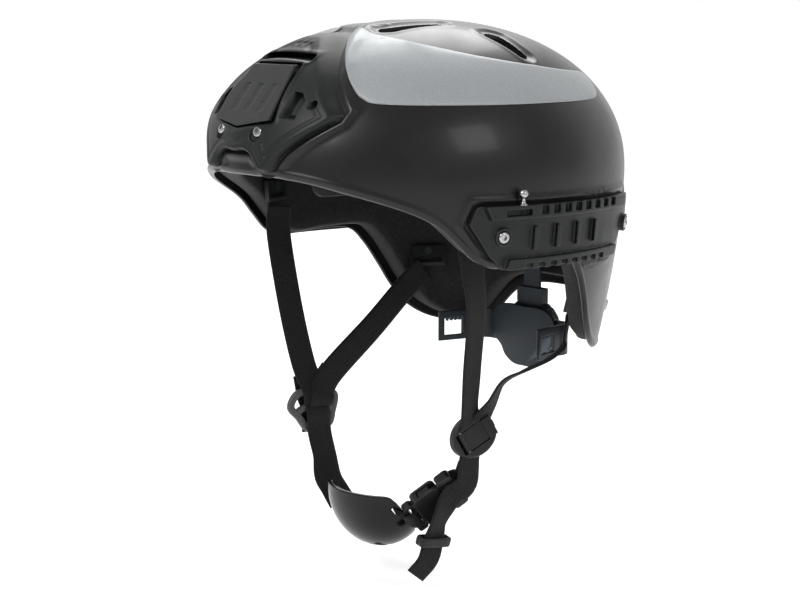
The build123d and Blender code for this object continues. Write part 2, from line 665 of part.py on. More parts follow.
def pinion_gear():
    """Small gear with straight-sided teeth."""
    gear = Cylinder(PINION_R - TOOTH_H / 2 - 0.15, RACK_T)
    tooth = Polyline([(PINION_R - 1.2, 0.62), (PINION_R + TOOTH_H / 2, 0.26),
                      (PINION_R + TOOTH_H / 2, -0.26), (PINION_R - 1.2, -0.62)], close=True)
    blade = Pos(0, 0, -RACK_T / 2) * extrude(make_face(tooth), amount=RACK_T)
    for i in range(PINION_TEETH):
        gear += Rot(0, 0, i * 360 / PINION_TEETH) * blade
    return gear


def make_dial():
    knob = rod(DIAL, KNOB_R, KNOB_Y, KNOB_Y + KNOB_T)
    knob = chamfer(knob.edges().sort_by(Axis.Y)[-1], 1.6)
    for i in range(18):
        turn = 2 * pi * i / 18
        notch = Plane(origin=(KNOB_R * cos(turn), 0, DIAL_Z + KNOB_R * sin(turn)), z_dir=(0, 1, 0))
        knob -= rod(notch, 1.3, KNOB_Y - 2, KNOB_Y + KNOB_T + 2)
    knob -= rod(DIAL, 10, KNOB_Y + KNOB_T - 1.6, KNOB_Y + KNOB_T + 2)
    knob += box_at((-1.6, KNOB_Y + KNOB_T - 2.5, DIAL_Z - 9.9), (1.6, KNOB_Y + KNOB_T, DIAL_Z + 9.9))
    parts["dial_knob"] = knob
    axle = rod(DIAL, AXLE_R, CRADLE_Y + 0.3, KNOB_Y - 0.05)
    gear = DIAL * (Pos(0, 0, RACK_Y + RACK_T / 2) * Rot(0, 0, 90) * pinion_gear())
    parts["dial_pinion"] = axle + gear


def rack_teeth(edge_z, up):
    """Row of rack teeth on a finger's edge, set between the pinion's teeth at rest."""
    row = None
    for i in range(-RACK_TEETH // 2, RACK_TEETH // 2 + 2):
        x = (i + 0.5) * PITCH
        root, tip = edge_z, edge_z + (TOOTH_H if up else -TOOTH_H)
        foot = root - (0.3 if up else -0.3)
        flanks = [(x - 0.62, foot), (x - 0.24, tip), (x + 0.24, tip), (x + 0.62, foot)]
        tooth = front_shape(flanks, RACK_Y, RACK_Y + RACK_T)
        row = tooth if row is None else row + tooth
    return row


def make_arm(side):
    """Headband arm: a toothed finger past the pinion, and a band that bends forward."""
    mid = RACK_Y + RACK_T / 2
    line = Line((13 * -side, mid), (31 * side, mid))
    bend = TangentArc((31 * side, mid), (40.5 * side, mid - 12), tangent=(side, 0))
    reach = Line((40.5 * side, mid - 12), (45 * side, mid - 34))
    gap = PINION_R + TOOTH_H / 2 + 0.25
    top, low = DIAL_Z + 9.5, DIAL_Z - 9.5
    band = None
    for piece in (line, bend, reach):
        strip = offset(piece, RACK_T / 2, side=Side.BOTH)
        strip = make_face(strip.edges()) if not strip.faces() else strip
        solid = Pos(0, 0, low) * extrude(strip, amount=top - low)
        band = solid if band is None else band + solid
    far, near = sorted((15 * -side, 25 * side))
    if side > 0:
        cut = box_at((far, mid - 4, low - 1), (near, mid + 4, DIAL_Z + gap))
        teeth = rack_teeth(DIAL_Z + gap, False)
    else:
        cut = box_at((far, mid - 4, DIAL_Z - gap), (near, mid + 4, top + 1))
        teeth = rack_teeth(DIAL_Z - gap, True)
    arm = band - cut + (teeth & box_at((-12.5, 0, -150), (12.5, 200, -60)))
    low_y, high_y = mid - 31, mid - 18
    inner, outer = sorted((36 * side, 56 * side))
    window = box_at((inner, low_y, -112), (outer, high_y, -101))
    for i in range(4):
        y = low_y + 2.4 + i * 2.8
        window -= box_at((-60, y - 0.6, -103), (60, y + 0.6, -100))
    return arm - window


parts["cradle_hanger"] = make_hanger()
make_cradle()
make_dial()
parts["band_arm_left"] = make_arm(1)
parts["band_arm_right"] = make_arm(-1)

for name, shape in parts.items():
    export_step(shape, f"parts/{name}.step")
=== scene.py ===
import json
import math

import bmesh
import bpy
import numpy as np
from mathutils import Matrix, Vector


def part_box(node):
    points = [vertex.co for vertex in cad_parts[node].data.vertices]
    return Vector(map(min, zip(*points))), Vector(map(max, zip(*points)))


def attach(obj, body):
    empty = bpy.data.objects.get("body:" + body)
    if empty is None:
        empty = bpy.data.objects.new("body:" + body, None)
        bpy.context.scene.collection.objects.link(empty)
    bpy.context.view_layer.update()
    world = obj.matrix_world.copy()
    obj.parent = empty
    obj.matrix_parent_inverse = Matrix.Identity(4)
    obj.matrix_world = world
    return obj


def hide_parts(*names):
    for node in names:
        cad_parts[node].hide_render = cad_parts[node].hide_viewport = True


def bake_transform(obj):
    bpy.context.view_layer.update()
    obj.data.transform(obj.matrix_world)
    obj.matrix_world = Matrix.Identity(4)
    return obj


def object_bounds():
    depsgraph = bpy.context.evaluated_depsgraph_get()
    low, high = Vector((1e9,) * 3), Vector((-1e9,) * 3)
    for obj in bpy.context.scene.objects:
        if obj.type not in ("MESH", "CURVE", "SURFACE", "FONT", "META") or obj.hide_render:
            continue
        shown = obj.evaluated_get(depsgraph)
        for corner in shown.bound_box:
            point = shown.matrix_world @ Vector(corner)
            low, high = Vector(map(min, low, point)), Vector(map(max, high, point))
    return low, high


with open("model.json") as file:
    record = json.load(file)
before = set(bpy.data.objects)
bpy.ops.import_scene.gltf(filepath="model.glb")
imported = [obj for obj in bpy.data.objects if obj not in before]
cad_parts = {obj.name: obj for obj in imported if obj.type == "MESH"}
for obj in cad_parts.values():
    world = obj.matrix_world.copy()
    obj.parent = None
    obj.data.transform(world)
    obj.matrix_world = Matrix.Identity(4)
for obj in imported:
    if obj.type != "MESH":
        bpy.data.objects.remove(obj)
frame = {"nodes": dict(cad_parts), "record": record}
start_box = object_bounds()

MM = 0.001

# ---- the helmet's form, in millimetres, as the CAD part defines it ----
HALF_WIDTH = 108.0
HALF_LENGTH = 133.0
DOME_HEIGHT = 89.0
DOME_POWER = 2.13
FORM_Y = -12.0
TAPER = 0.111               # how far the wall has drawn in, TAPER_DEPTH below the girth
TAPER_DEPTH = 99.0
TAPER_POWER = 1.6
RIM = [(-165, 7), (-140, 5), (-118, -3), (-95, -12), (-80, -20), (-68, -31), (-57, -41),
       (-44, -45.5), (-18, -44.5), (10, -45), (21, -54), (30, -69), (38, -85), (48, -98),
       (64, -106), (90, -107), (150, -107)]
ARCH = [(-70, -115), (-52, -115), (-32, -85), (0, -80), (32, -85), (52, -115), (70, -115)]
VENTS = [((21, -37), 80, 42, 11), ((57, 3), 12, 28, 12)]     # centre, turn, length, width
SHELL_INNER = -3.4          # offsets from the form
LINER_OUTER = -3.8
LINER_INNER = -19.3
LINER_JOINS = (-48, 42)     # Y of the joins between the liner's pieces
SHROUD_HALF = [(0, 85), (10, 84), (24, 76), (38, 64), (49, 51), (58, 41), (57, 34), (46, 25),
               (36, 16), (29, 6), (20, 6), (11, 15), (0, 15)]
RAIL_OUTLINE = [(-60, -10), (77, -12), (79, -30), (67, -34), (56, -46), (-42, -46), (-51, -38),
                (-64, -20)]


# ---- camera ----
CAMERA_LENS = 85.0
CAMERA_SENSOR = 36.0
CAMERA_AZIMUTH = math.radians(50)
CAMERA_ELEVATION = math.radians(9)
CAMERA_DISTANCE = 1.131
CAMERA_ASIDE = -0.0215
CAMERA_RAISED = -0.0783


def make_camera():
    """Front-left view, a little above the rim, through a portrait lens."""
    azimuth, elevation = CAMERA_AZIMUTH, CAMERA_ELEVATION
    back = Vector((math.sin(azimuth) * math.cos(elevation),
                   -math.cos(azimuth) * math.cos(elevation), math.sin(elevation)))
    right = Vector((math.cos(azimuth), math.sin(azimuth), 0))
    up = back.cross(right)
    data = bpy.data.cameras.new("camera")
    data.lens = CAMERA_LENS
    data.sensor_width = CAMERA_SENSOR
    camera = bpy.data.objects.new("camera", data)
    bpy.context.collection.objects.link(camera)
    turn = Matrix((right, up, back)).transposed().to_4x4()
    place = back * CAMERA_DISTANCE + right * CAMERA_ASIDE + up * CAMERA_RAISED
    camera.matrix_world = Matrix.Translation(place) @ turn
    bpy.context.scene.camera = camera


make_camera()


# ---- curves and the form ----
CURVE_STEPS = 24            # samples between two points of a curve
RIM_LOW = -124.0            # heights between which the rim is looked for
RIM_HIGH = 60.0
RIM_HALVINGS = 30
ARCH_FROM_Y = 20            # the nape's arch shapes the rim only behind this
RIM_LEAN = 0.7              # share of the rise by which the rim's line moves back


def smooth_line(points, count):
    """Catmull-Rom curve through the points, resampled evenly."""
    pts = np.array(points, float)
    pts = np.vstack([2 * pts[0] - pts[1], pts, 2 * pts[-1] - pts[-2]])
    steps = np.linspace(0, 1, CURVE_STEPS, endpoint=False)[:, None]
    out = []
    for a, b, c, d in zip(pts, pts[1:], pts[2:], pts[3:]):
        out.append(0.5 * (2 * b + (c - a) * steps + (2 * a - 5 * b + 4 * c - d) * steps ** 2
                          + (3 * b - a - 3 * c + d) * steps ** 3))
    line = np.vstack(out + [pts[-2:-1]])
    run = np.concatenate([[0], np.cumsum(np.linalg.norm(np.diff(line, axis=0), axis=1))])
    at = np.linspace(0, run[-1], count)
    return np.stack([np.interp(at, run, line[:, i]) for i in range(line.shape[1])], -1)


RIM_LINE = smooth_line(RIM, 600)
ARCH_LINE = smooth_line(ARCH, 200)


def share(z, offset=0.0):
    """Share of the girth at a height."""
    z = np.asarray(z, float)
    high = np.clip(z / (DOME_HEIGHT + offset), 0, 1)
    low = np.clip(-z, 0, None) / TAPER_DEPTH
    return np.where(z < 0, 1 - TAPER * low ** TAPER_POWER,
                    np.maximum(1 - high ** DOME_POWER, 0) ** (1 / DOME_POWER))


def on_form(turn, z, offset=0.0):
    """Point of the form at an angle round the head (0 is the left, -90 degrees the front)."""
    s = share(z, offset)
    return np.stack([(HALF_WIDTH + offset) * s * np.cos(turn),
                     FORM_Y + (HALF_LENGTH + offset) * s * np.sin(turn), z + 0 * turn], -1)


def normals(points):
    """Outward unit normals of the form at points near it."""
    x, y, z = points[..., 0], points[..., 1], points[..., 2]
    s = np.maximum(share(np.clip(z, -200, DOME_HEIGHT - 0.05)), 0.02)
    climb = (np.clip(z, 0, None) / DOME_HEIGHT) ** (DOME_POWER - 1) / DOME_HEIGHT / s ** DOME_POWER
    drop = (np.clip(-z, 0, None) / TAPER_DEPTH) ** (TAPER_POWER - 1) / TAPER_DEPTH
    rise = climb - np.where(z < 0, TAPER * TAPER_POWER * drop / s, 0)
    n = np.stack([x / (HALF_WIDTH * s) ** 2, (y - FORM_Y) / (HALF_LENGTH * s) ** 2, rise], -1)
    return n / np.linalg.norm(n, axis=-1, keepdims=True)


def rim_height(turn, offset, rise, arch_rise):
    """Height at which the wall meets the rim, found by halving."""
    low, high = np.full_like(turn, RIM_LOW), np.full_like(turn, RIM_HIGH)
    for _ in range(RIM_HALVINGS):
        mid = (low + high) / 2
        p = on_form(turn, mid, offset)
        line = np.interp(p[:, 1] - rise * RIM_LEAN, RIM_LINE[:, 0], RIM_LINE[:, 1]) + rise
        arch = np.interp(p[:, 0], ARCH_LINE[:, 0], ARCH_LINE[:, 1]) + arch_rise
        line = np.where(p[:, 1] > ARCH_FROM_Y, np.maximum(line, arch), line)
        above = mid > line
        high, low = np.where(above, mid, high), np.where(above, low, mid)
    return high


def outline_distance(u, v, polygon):
    """Signed distance from a closed outline, positive outside."""
    best = np.full(u.shape, 1e9)
    inside = np.zeros(u.shape, bool)
    for (x0, y0), (x1, y1) in zip(polygon, polygon[1:] + polygon[:1]):
        ex, ey = x1 - x0, y1 - y0
        t = np.clip(((u - x0) * ex + (v - y0) * ey) / (ex * ex + ey * ey), 0, 1)
        best = np.minimum(best, np.hypot(u - x0 - t * ex, v - y0 - t * ey))
        if y0 != y1:
            crosses = (v < y0) != (v < y1)
            inside ^= crosses & (u < (v - y0) * ex / ey + x0)
    return np.where(inside, -best, best)


def teardrop_distance(x, y, centre, turn, length, width):
    """Signed distance from a vent's outline, seen from above."""
    a = math.radians(turn)
    u = (x - centre[0]) * math.cos(a) + (y - centre[1]) * math.sin(a)
    v = -(x - centre[0]) * math.sin(a) + (y - centre[1]) * math.cos(a)
    u0, u1 = width / 2 - length / 2, length / 2 - width / 4
    t = np.clip((u - u0) / (u1 - u0), 0, 1)
    return np.hypot(u - u0 - t * (u1 - u0), v) - (width / 2 + t * (width / 4 - width / 2))


def bump(d, centre, width, height):
    """Smooth ridge of a height, at a distance from an outline."""
    return height * np.exp(-((d - centre) / width) ** 2)


SHROUD = SHROUD_HALF + [(-x, z) for x, z in reversed(SHROUD_HALF) if x > 0]


def shell_relief(points):
    """Height of the shell's moulded lips and dips above the plain form."""
    x, y, z = points[..., 0], points[..., 1], points[..., 2]
    ax = np.abs(x)
    relief = np.zeros(x.shape)
    d = outline_distance(x, z, SHROUD)
    front = (y < -45) & (z > -10)
    relief += np.where(front, bump(d, -0.4, 2.0, 1.9), 0)
    side = ax > 40
    d = outline_distance(y, z, RAIL_OUTLINE)
    relief += np.where(side, bump(d, 3.2, 1.5, 1.0), 0)
    crown = z > 40
    for vent in VENTS:
        d = teardrop_distance(ax, y, *vent)
        dip, lip = bump(np.maximum(d, 0), 0, 3.4, -1.5), bump(d, 5.6, 1.7, 0.5)
        relief += np.where(crown, dip + lip, 0)
    return relief


# ---- materials ----
EDGE_HIGHLIGHT_AND_WEAR_FROM, EDGE_HIGHLIGHT_AND_WEAR_TO = 0.515, 0.60        # range of Pointiness over which an edge is lightened: a painted highlight along edges and rims, also edge wear


def shader(name, colour, roughness, metallic=0.0, **sockets):
    """Material with one Principled BSDF; other sockets are named with underscores."""
    material = bpy.data.materials.new(name)
    material.use_nodes = True
    tree = material.node_tree
    bsdf = tree.nodes["Principled BSDF"]
    bsdf.inputs["Base Color"].default_value = (*colour, 1)
    bsdf.inputs["Roughness"].default_value = roughness
    bsdf.inputs["Metallic"].default_value = metallic
    for key, value in sockets.items():
        bsdf.inputs[key.replace("_", " ")].default_value = value
    return material, tree, bsdf


def texture(tree, kind, scale, coordinates="Object", **settings):
    """Texture node with its sockets or properties set."""
    node = tree.nodes.new(kind)
    place = tree.nodes.new("ShaderNodeTexCoord")
    tree.links.new(place.outputs[coordinates], node.inputs["Vector"])
    node.inputs["Scale"].default_value = scale
    for key, value in settings.items():
        if key in node.inputs:
            node.inputs[key].default_value = value
        else:
            setattr(node, key, value)
    return node


def spread(tree, source, low, high, stops=(0.3, 0.7)):
    """Turns a texture's value into a range of values or colours."""
    ramp = tree.nodes.new("ShaderNodeValToRGB")
    tree.links.new(source, ramp.inputs["Fac"])
    for element, stop, value in zip(ramp.color_ramp.elements, stops, (low, high)):
        element.position = stop
        element.color = (*value, 1) if isinstance(value, tuple) else (value, value, value, 1)
    return ramp.outputs["Color"]


def add_bump(tree, bsdf, source, strength, distance, chain=None):
    """Bump node from a texture to the BSDF, after another one if chain is given."""
    node = tree.nodes.new("ShaderNodeBump")
    node.inputs["Strength"].default_value = strength
    node.inputs["Distance"].default_value = distance
    tree.links.new(source, node.inputs["Height"])
    if chain:
        tree.links.new(chain.outputs["Normal"], node.inputs["Normal"])
    tree.links.new(node.outputs["Normal"], bsdf.inputs["Normal"])
    return node


def plastic(name, colour, lighter, rough_low, rough_high, grain, grain_depth, coat=0.0):
    """Moulded plastic: cloudy colour, uneven gloss, a fine spark-eroded grain, and lighter edges: a
    painted highlight along them, also edge wear.
    """
    material, tree, bsdf = shader(name, colour, 0.5)
    cloud = texture(tree, "ShaderNodeTexNoise", 38, Detail=5.0)
    fine = texture(tree, "ShaderNodeTexNoise", grain, Detail=3.0)
    base = spread(tree, cloud.outputs["Fac"], colour, lighter)
    # Colour is lightened along sharp edges from Pointiness: a painted highlight along edges and rims,
    # also edge wear.
    shape = tree.nodes.new("ShaderNodeNewGeometry")
    highlight_and_wear = spread(tree, shape.outputs["Pointiness"], 0.0, 1.0, (EDGE_HIGHLIGHT_AND_WEAR_FROM, EDGE_HIGHLIGHT_AND_WEAR_TO))
    mix = tree.nodes.new("ShaderNodeMixRGB")
    mix.inputs["Color2"].default_value = (*[c * 4 + 0.012 for c in lighter], 1)
    tree.links.new(highlight_and_wear, mix.inputs["Fac"])
    tree.links.new(base, mix.inputs["Color1"])
    tree.links.new(mix.outputs["Color"], bsdf.inputs["Base Color"])
    tree.links.new(spread(tree, cloud.outputs["Fac"], rough_low, rough_high),
                   bsdf.inputs["Roughness"])
    add_bump(tree, bsdf, fine.outputs["Fac"], 0.35, grain_depth)
    bsdf.inputs["Specular IOR Level"].default_value = 0.3
    if coat:
        bsdf.inputs["Coat Weight"].default_value = coat
        bsdf.inputs["Coat Roughness"].default_value = 0.12
    return material


def webbing_material():
    """Woven nylon: rows of picks across the strap and fine warp lines along it."""
    material, tree, bsdf = shader("webbing", (0.004, 0.004, 0.0045), 0.8, Sheen_Weight=0.05,
                                  Specular_IOR_Level=0.25)
    picks = texture(tree, "ShaderNodeTexWave", 1.0, "UV", bands_direction="Y",
                    wave_profile="SIN", Distortion=0.0)
    warp = texture(tree, "ShaderNodeTexWave", 1.0, "UV", bands_direction="X",
                   wave_profile="SIN", Distortion=0.0)
    lint = texture(tree, "ShaderNodeTexNoise", 900, Detail=4.0)
    tree.links.new(spread(tree, lint.outputs["Fac"], (0.003, 0.0032, 0.0032),
                          (0.0085, 0.009, 0.009)), bsdf.inputs["Base Color"])
    first = add_bump(tree, bsdf, picks.outputs["Fac"], 0.5, 0.0003)
    add_bump(tree, bsdf, warp.outputs["Fac"], 0.6, 0.0002, first)
    return material


def foam_material():
    """Expanded foam: welded beads, with painted shade darkening the creases between them."""
    material, tree, bsdf = shader("foam", (0.012, 0.012, 0.013), 0.8)
    beads = texture(tree, "ShaderNodeTexVoronoi", 330)
    # Colour darkens from each bead's middle to its edges: painted shade in the creases between beads.
    tree.links.new(spread(tree, beads.outputs["Distance"], (0.010, 0.010, 0.0105),
                          (0.003, 0.003, 0.003), (0.1, 0.6)), bsdf.inputs["Base Color"])
    add_bump(tree, bsdf, beads.outputs["Distance"], -0.6, 0.0006)
    return material


def knit_material():
    """Brushed knit over the comfort pads."""
    material, tree, bsdf = shader("knit", (0.012, 0.012, 0.014), 0.9, Sheen_Weight=0.3)
    loops = texture(tree, "ShaderNodeTexVoronoi", 750)
    fuzz = texture(tree, "ShaderNodeTexNoise", 1500, Detail=3.0)
    tree.links.new(spread(tree, fuzz.outputs["Fac"], (0.009, 0.009, 0.01), (0.03, 0.03, 0.033)),
                   bsdf.inputs["Base Color"])
    add_bump(tree, bsdf, loops.outputs["Distance"], 0.5, 0.0004)
    return material


def reflective_material():
    """Silver film of tiny glass beads: soft metallic grey with a fine sparkle."""
    material, tree, bsdf = shader("reflective", (0.3, 0.31, 0.32), 0.5, 0.15)
    beads = texture(tree, "ShaderNodeTexNoise", 1700, Detail=2.0)
    wear = texture(tree, "ShaderNodeTexNoise", 60, Detail=6.0)
    tree.links.new(spread(tree, beads.outputs["Fac"], (0.255, 0.27, 0.28), (0.335, 0.35, 0.36)),
                   bsdf.inputs["Base Color"])
    tree.links.new(spread(tree, wear.outputs["Fac"], 0.34, 0.55), bsdf.inputs["Roughness"])
    add_bump(tree, bsdf, beads.outputs["Fac"], 0.25, 0.0002)
    return material


def steel_material():
    """Polished steel with fine scratches."""
    material, tree, bsdf = shader("steel", (0.42, 0.42, 0.43), 0.2, 1.0)
    scratches = texture(tree, "ShaderNodeTexNoise", 500, Detail=6.0)
    tree.links.new(spread(tree, scratches.outputs["Fac"], 0.12, 0.34), bsdf.inputs["Roughness"])
    add_bump(tree, bsdf, scratches.outputs["Fac"], 0.08, 0.0002)
    return material


MATERIALS = {
    "shell": plastic("shell", (0.0042, 0.0036, 0.004), (0.0062, 0.0054, 0.006), 0.3, 0.4,
                     1400, 0.00006, 0.12),
    "moulded": plastic("moulded", (0.0038, 0.0052, 0.0045), (0.0064, 0.0082, 0.0072), 0.36, 0.5,
                       2100, 0.00015),
    "plate": plastic("plate", (0.006, 0.007, 0.0065), (0.009, 0.0105, 0.0095), 0.22, 0.36,
                     1800, 0.00008),
    "slider": plastic("slider", (0.06, 0.061, 0.064), (0.085, 0.086, 0.09), 0.34, 0.5,
                      1500, 0.0001),
    "cup": plastic("cup", (0.002, 0.002, 0.0022), (0.003, 0.003, 0.0032), 0.14, 0.2,
                   600, 0.00004),
    "buckle": plastic("buckle", (0.007, 0.007, 0.0075), (0.012, 0.012, 0.013), 0.3, 0.44,
                      1900, 0.0001),
    "cradle": plastic("cradle", (0.012, 0.017, 0.022), (0.019, 0.026, 0.033), 0.36, 0.5,
                      1700, 0.0001),
    "foam": foam_material(),
    "pad": knit_material(),
    "webbing": webbing_material(),
    "reflective": reflective_material(),
    "steel": steel_material(),
}
BODY = {node: body for body, nodes in frame["record"]["behaviour"]["bodies"].items()
        for node in nodes}
SLOT = {item["node"]: item["material_slot"] for item in frame["record"]["subparts"]}


# ---- pieces ----
def piece(name, vertices, faces, nodes, slot=None, uv=None):
    """A finished mesh in place of CAD nodes, riding on their body."""
    mesh = bpy.data.meshes.new(name)
    mesh.from_pydata([tuple(v) for v in np.asarray(vertices) * MM], [], faces)
    mesh.validate()
    if uv is not None:
        layer = mesh.uv_layers.new(name="UVMap")
        for loop in mesh.loops:
            layer.data[loop.index].uv = uv[loop.vertex_index]
    return place_mesh(name, mesh, nodes, slot)


def place_mesh(name, mesh, nodes, slot=None):
    """A smooth-shaded mesh with its material, riding on its nodes' body in their place."""
    obj = bpy.data.objects.new(name, mesh)
    bpy.context.collection.objects.link(obj)
    mesh.polygons.foreach_set("use_smooth", [True] * len(mesh.polygons))
    slot = slot or SLOT[nodes[0]]
    mesh.materials.clear()
    mesh.materials.append(MATERIALS[slot])
    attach(obj, BODY[nodes[0]])
    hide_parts(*nodes)
    return obj


def apply_modifiers(obj):
    """Bakes an object's modifiers into its mesh."""
    depsgraph = bpy.context.evaluated_depsgraph_get()
    mesh = bpy.data.meshes.new_from_object(obj.evaluated_get(depsgraph))
    obj.modifiers.clear()
    obj.data = mesh


def moulded(node, voxel, rounds):
    """A CAD node's shape with its edges softened, as a moulding has them."""
    mesh = frame["nodes"][node].data.copy()
    mesh.name = f"{node}_finish"
    obj = place_mesh(f"{node}_finish", mesh, [node])
    remesh = obj.modifiers.new("remesh", "REMESH")
    remesh.mode = "VOXEL"
    remesh.voxel_size = voxel * MM
    remesh.use_smooth_shade = True
    soften = obj.modifiers.new("soften", "SMOOTH")
    soften.factor = 0.5
    soften.iterations = rounds
    apply_modifiers(obj)
    return obj


def cut_with(obj, cutters):
    """Cuts holes through a piece."""
    for cutter in cutters:
        boolean = obj.modifiers.new("cut", "BOOLEAN")
        boolean.object = cutter
        boolean.operation = "DIFFERENCE"
        boolean.solver = "EXACT"
    apply_modifiers(obj)
    for cutter in cutters:
        bpy.data.objects.remove(cutter)


def outward_faces(obj, merge=0.0):
    """Turns a piece's faces outward, once points closer than a distance in metres are merged."""
    mesh = bmesh.new()
    mesh.from_mesh(obj.data)
    if merge:
        bmesh.ops.remove_doubles(mesh, verts=mesh.verts, dist=merge)
    bmesh.ops.recalc_face_normals(mesh, faces=mesh.faces)
    mesh.to_mesh(obj.data)
    mesh.free()


def tube_faces(rings, per):
    """Faces of a tube of equal rings of points, closed by a face at each end."""
    faces = [[i * per + j, i * per + (j + 1) % per,
              (i + 1) * per + (j + 1) % per, (i + 1) * per + j]
             for i in range(rings - 1) for j in range(per)]
    last = (rings - 1) * per
    return faces + [list(range(per))[::-1], list(range(last, last + per))]


CUTTER_LOW = 35             # heights between which the vents' cutters reach
CUTTER_HIGH = 110


def vent_cutters(grow):
    """Teardrop prisms for the vents, on both sides."""
    cutters = []
    for (x, y), turn, length, width in VENTS:
        wide, narrow = width / 2 + grow, width / 4 + grow
        rear, tip = width / 2 - length / 2, length / 2 - width / 4
        lean = math.acos((wide - narrow) / (tip - rear))
        around = [(tip + narrow * math.cos(a), narrow * math.sin(a))
                  for a in np.linspace(-lean, lean, 18)]
        around += [(rear + wide * math.cos(a), wide * math.sin(a))
                   for a in np.linspace(lean, 2 * math.pi - lean, 30)]
        turned = math.radians(turn)
        for side in (1, -1):
            ring = []
            for u, v in around:
                px = x + u * math.cos(turned) - v * math.sin(turned)
                py = y + u * math.sin(turned) + v * math.cos(turned)
                ring.append((px * side, py))
            ring = ring if side > 0 else ring[::-1]
            count = len(ring)
            vertices = [(a, b, z) for z in (CUTTER_LOW, CUTTER_HIGH) for a, b in ring]
            faces = [list(range(count))[::-1], list(range(count, 2 * count))]
            faces += [[i, (i + 1) % count, (i + 1) % count + count, i + count]
                      for i in range(count)]
            mesh = bpy.data.meshes.new("vent_cutter")
            mesh.from_pydata([tuple(np.array(v) * MM) for v in vertices], [], faces)
            cutter = bpy.data.objects.new("vent_cutter", mesh)
            bpy.context.collection.objects.link(cutter)
            cutters.append(cutter)
    return cutters


# ---- shell and liner: one closed sheet, rolled over at the rim ----
WALL_REACH = 100.0          # millimetres of wall for each radian past the girth
ROLL_REACH = 3.0            # the rolled edge stands out no further than this
ROOM_DEPTH = 3.2            # room for the headband's arms
ROOM_FROM_Y = 50
ROOM_BELOW_Z = -82


def column_heights(turn, offset, rise, arch_rise, rows):
    """Heights down each column from the crown to the rim."""
    rim = rim_height(turn, offset, rise, arch_rise)
    top = DOME_HEIGHT + offset
    end = np.where(rim < 0, math.pi / 2 - rim / WALL_REACH,
                   np.arccos(np.clip(rim / top, 0, 1) ** (DOME_POWER / 2)))
    angle = end[:, None] * np.linspace(0, 1, rows)[None, 1:]
    dome = top * np.maximum(np.cos(np.minimum(angle, math.pi / 2)), 0) ** (2 / DOME_POWER)
    return np.where(angle <= math.pi / 2, dome, -(angle - math.pi / 2) * WALL_REACH)


def uncut(points):
    """Nothing is pared off the inner face."""
    return np.zeros(points.shape[:-1])


def cradle_room(points):
    """Room pared off the liner's inner face, low at the back, where the headband's arms pass."""
    back = np.clip((points[..., 1] - ROOM_FROM_Y) / 8, 0, 1)
    low = np.clip((ROOM_BELOW_Z - points[..., 2]) / 6, 0, 1)
    return ROOM_DEPTH * back * low


def rolled_layer(name, nodes, outer, inner, rise, arch_rise, columns, rows, relief, lip=0.0,
                 pared=uncut):
    """Closed wall between two offsets of the form, with a rounded edge.

    rise and arch_rise lift its edge above the rim and the nape's arch, and lip swells the
    outer face beside the edge.
    """
    turn = np.linspace(0, 2 * math.pi, columns, endpoint=False)
    outside = on_form(turn[:, None], column_heights(turn, outer, rise, arch_rise, rows), outer)
    inner_heights = column_heights(turn, inner, rise, arch_rise, rows // 3)
    inside = on_form(turn[:, None], inner_heights, inner)
    inside = inside + normals(inside) * pared(inside)[..., None]
    normal = normals(outside)
    from_rim = np.linalg.norm(np.diff(outside, axis=1), axis=2)[:, ::-1].cumsum(1)[:, ::-1]
    from_rim = np.concatenate([from_rim, np.zeros((columns, 1))], 1)
    lift = bump(from_rim, 1.4, 1.3, lip)
    lift = lift + relief(outside) * np.clip(from_rim / 6, 0, 1)
    outside = outside + normal * lift[..., None]
    edge_out, edge_in = outside[:, -1], inside[:, -1]
    middle, half = (edge_out + edge_in) / 2, (edge_out - edge_in) / 2
    down = outside[:, -1] - outside[:, -2]
    down /= np.linalg.norm(down, axis=1, keepdims=True)
    reach = min(np.linalg.norm(half, axis=1).mean(), ROLL_REACH)
    roll = [middle + half * math.cos(a) + down * reach * math.sin(a)
            for a in np.linspace(0, math.pi, 9)[1:-1]]
    path = np.concatenate([outside, np.stack(roll, 1), inside[:, ::-1]], 1)
    count = path.shape[1]
    crown_out = [0, FORM_Y, DOME_HEIGHT + outer]
    crown_in = [0, FORM_Y, DOME_HEIGHT + inner]
    vertices = np.vstack([path.reshape(-1, 3), crown_out, crown_in])
    faces = []
    for i in range(columns):
        j = (i + 1) % columns
        a, b = i * count, j * count
        faces += [[a + k, a + k + 1, b + k + 1, b + k] for k in range(count - 1)]
        faces.append([len(vertices) - 2, a, b])
        faces.append([len(vertices) - 1, b + count - 1, a + count - 1])
    return piece(name, vertices, faces, nodes)


def liner_relief(points):
    """Grooves where the liner's three pieces meet."""
    front, rear = LINER_JOINS
    return bump(points[..., 1], front, 0.7, -1.2) + bump(points[..., 1], rear, 0.7, -1.2)


shell = rolled_layer("shell_moulding", ["outer_shell"], 0, SHELL_INNER, rise=1.4, arch_rise=1.4,
                     columns=560, rows=170, relief=shell_relief, lip=0.7)
cut_with(shell, vent_cutters(0))
liner = rolled_layer("liner_foam", ["liner_front", "liner_crown", "liner_rear"], LINER_OUTER,
                     LINER_INNER, rise=5.6, arch_rise=10.0, columns=300, rows=90,
                     relief=liner_relief, pared=cradle_room)
cut_with(liner, vent_cutters(1.5))


# ---- reflective panels ----
PANEL_LOW = [(-80.4, 82), (-73, 77), (-66, 70), (-61, 62), (-56.5, 54), (-52, 47.5), (-45, 44.6),
             (-17, 43.6), (5, 43.5), (25, 43.6), (34, 44.6), (40, 49), (42.2, 54)]
PANEL_HIGH = [(-79.4, 82.8), (-60, 80.6), (-44, 78), (-28, 74), (-11, 69), (6, 64.5), (22, 61),
              (33, 59.4), (40, 58.6), (42.4, 57)]


FILM_LOW = 0.02             # the film's two faces above the shell, and how far its middle swells
FILM_HIGH = 0.35
FILM_CROWN = 0.3


